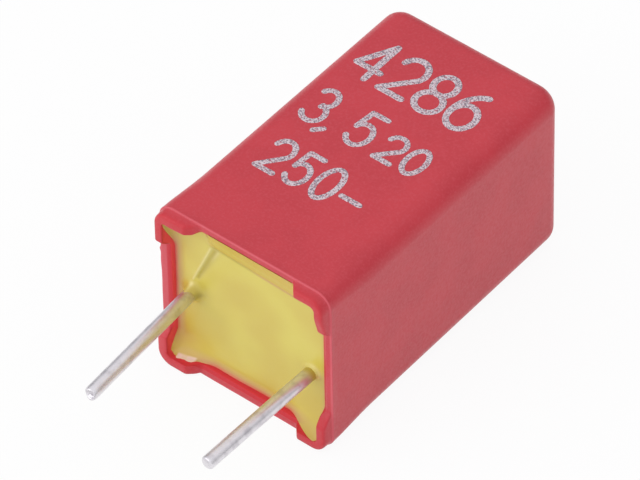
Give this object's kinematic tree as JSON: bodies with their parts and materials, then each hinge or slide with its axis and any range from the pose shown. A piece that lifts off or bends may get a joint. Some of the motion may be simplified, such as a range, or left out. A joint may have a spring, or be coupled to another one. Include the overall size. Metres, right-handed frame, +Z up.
{
  "type": "box film capacitor",
  "caption": "Rounded box-shaped film capacitor with corner stand-off feet, a resin-filled open end and round wire leads, lying on one side.",
  "frame": {"origin": "middle of the underside of the part's bounding box, where the case's side lies on the table", "axes": "+X along the lead pitch, +Y from the lead tips to the closed end of the case, +Z up through the printed side"},
  "size_m": [0.0072, 0.0176, 0.0072],
  "materials": {
    "red_case": "moulded, fine matte grain",
    "yellow_resin": "poured, semi-gloss, slightly cloudy",
    "metallised_film": "metallised film, wound and pressed flat",
    "sprayed_metal": "flame-sprayed, rough and matt grey",
    "tinned_wire": "drawn wire, matt tin plating"
  },
  "bodies": {
    "root": {"case": "red_case", "potting_resin": "yellow_resin", "film_winding": "metallised_film", "end_contact_left": "sprayed_metal", "end_contact_right": "sprayed_metal", "lead_left": "tinned_wire", "lead_right": "tinned_wire"}
  },
  "joints": []
}
